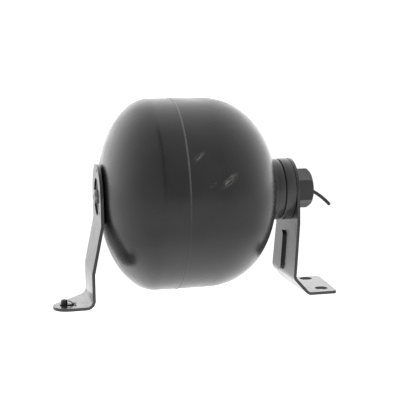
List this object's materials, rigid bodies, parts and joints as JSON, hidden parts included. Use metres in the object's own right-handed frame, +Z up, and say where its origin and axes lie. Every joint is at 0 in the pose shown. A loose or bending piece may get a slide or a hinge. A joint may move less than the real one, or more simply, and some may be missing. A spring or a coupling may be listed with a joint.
{
  "type": "hydraulic reservoir",
  "caption": "Round black hydraulic reservoir with a gas charging end, a plugged hydraulic port and a sheet-steel foot bracket at each end.",
  "frame": {"origin": "on the surface the feet stand on, midway between the tips of the two feet, under the vessel's axis", "axes": "+Z up, +X along the vessel's axis from the gas end to the port, +Y to the far side"},
  "size_m": [0.2896, 0.189, 0.1991],
  "materials": {
    "vessel_paint": "semi-gloss black paint with light scuffs",
    "bracket_paint": "semi-gloss black paint",
    "fitting_paint": "satin black over machined steel",
    "nut_finish": "satin black, faintly textured",
    "screw_steel": "bright plated steel",
    "clip_steel": "black phosphate",
    "bare_steel": "plain machined steel",
    "diaphragm_rubber": "moulded nitrile rubber",
    "seal_rubber": "nitrile rubber",
    "plug_rubber": "moulded rubber"
  },
  "bodies": {
    "reservoir": {"gas_side_shell": "vessel_paint", "fluid_side_shell": "vessel_paint", "seam_weld": "vessel_paint", "diaphragm": "diaphragm_rubber", "diaphragm_clamp_ring": "bare_steel", "charging_boss": "vessel_paint", "charging_screw_seal": "seal_rubber", "charging_screw": "screw_steel", "left_bracket": "bracket_paint", "clip_plate": "clip_steel", "clip_nut": "clip_steel", "clip_leaf": "clip_steel", "neck_weld": "fitting_paint", "port_neck": "fitting_paint", "neck_gasket": "seal_rubber", "spacer_ring": "fitting_paint", "right_bracket": "bracket_paint", "bracket_washer": "fitting_paint", "port_nut": "nut_finish", "port_fitting": "bare_steel", "port_fitting_seal": "seal_rubber"},
    "diaphragm_button": {"diaphragm_button": "bare_steel", "button_retainer": "bare_steel"},
    "port_plug": {"port_plug": "plug_rubber"}
  },
  "joints": [
    {"name": "diaphragm_stroke", "type": "slide", "parent": "reservoir", "child": "diaphragm_button", "axis": [-1, 0, 0], "range_m": [0, 0.13], "stiffness_N_per_m": 40, "springref_m": -0.005, "deforming": ["diaphragm"]},
    {"name": "plug_pull", "type": "slide", "parent": "reservoir", "child": "port_plug", "axis": [1, 0, 0], "range_m": [0, 0.03]}
  ]
}
